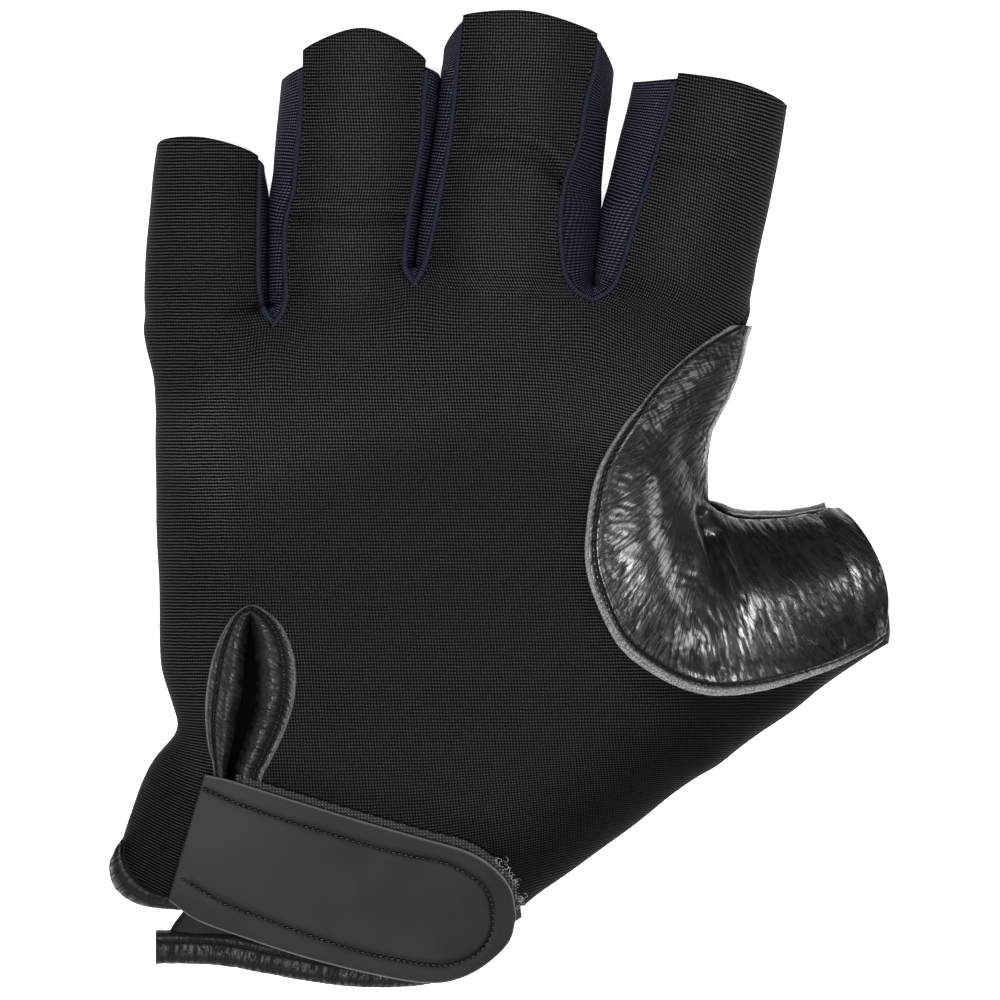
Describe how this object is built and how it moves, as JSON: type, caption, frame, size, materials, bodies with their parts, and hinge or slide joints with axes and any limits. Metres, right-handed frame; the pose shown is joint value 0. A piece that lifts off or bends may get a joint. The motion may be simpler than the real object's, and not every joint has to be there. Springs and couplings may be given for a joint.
{
  "type": "fingerless sports glove",
  "caption": "Left-hand half-finger glove lying palm down: knit back, leather palm and thumb patch, bound wrist slit and closure tab.",
  "frame": {"origin": "on the surface that the glove lies on, under the middle of its outline", "axes": "+Y towards the fingertips, +X towards the thumb, +Z out of the back of the hand"},
  "size_m": [0.1496, 0.1859, 0.028],
  "materials": {
    "knit_black": "fine ribbed stretch knit",
    "knit_navy": "plain stretch knit",
    "palm_leather": "soft matte grain",
    "gloss_leather": "glossy wrinkled grain",
    "binding_leather": "semi-gloss folded strip",
    "tab_matte": "matte soft-touch",
    "hook_tape": "woven hook tape",
    "loop_tape": "brushed loop tape"
  },
  "bodies": {
    "root": {"back_panel": "knit_black", "palm_panel": "palm_leather", "fourchette_pinky_ring": "knit_navy", "fourchette_ring_middle": "knit_navy", "fourchette_middle_index": "knit_navy", "thumb_leather": "gloss_leather", "thumb_welt": "gloss_leather", "vent_binding": "binding_leather", "closure_tab": "tab_matte", "hook_patch": "hook_tape", "loop_patch": "loop_tape", "cuff_binding_palm": "binding_leather", "cuff_binding_left": "binding_leather", "cuff_binding_right": "binding_leather"}
  },
  "joints": []
}
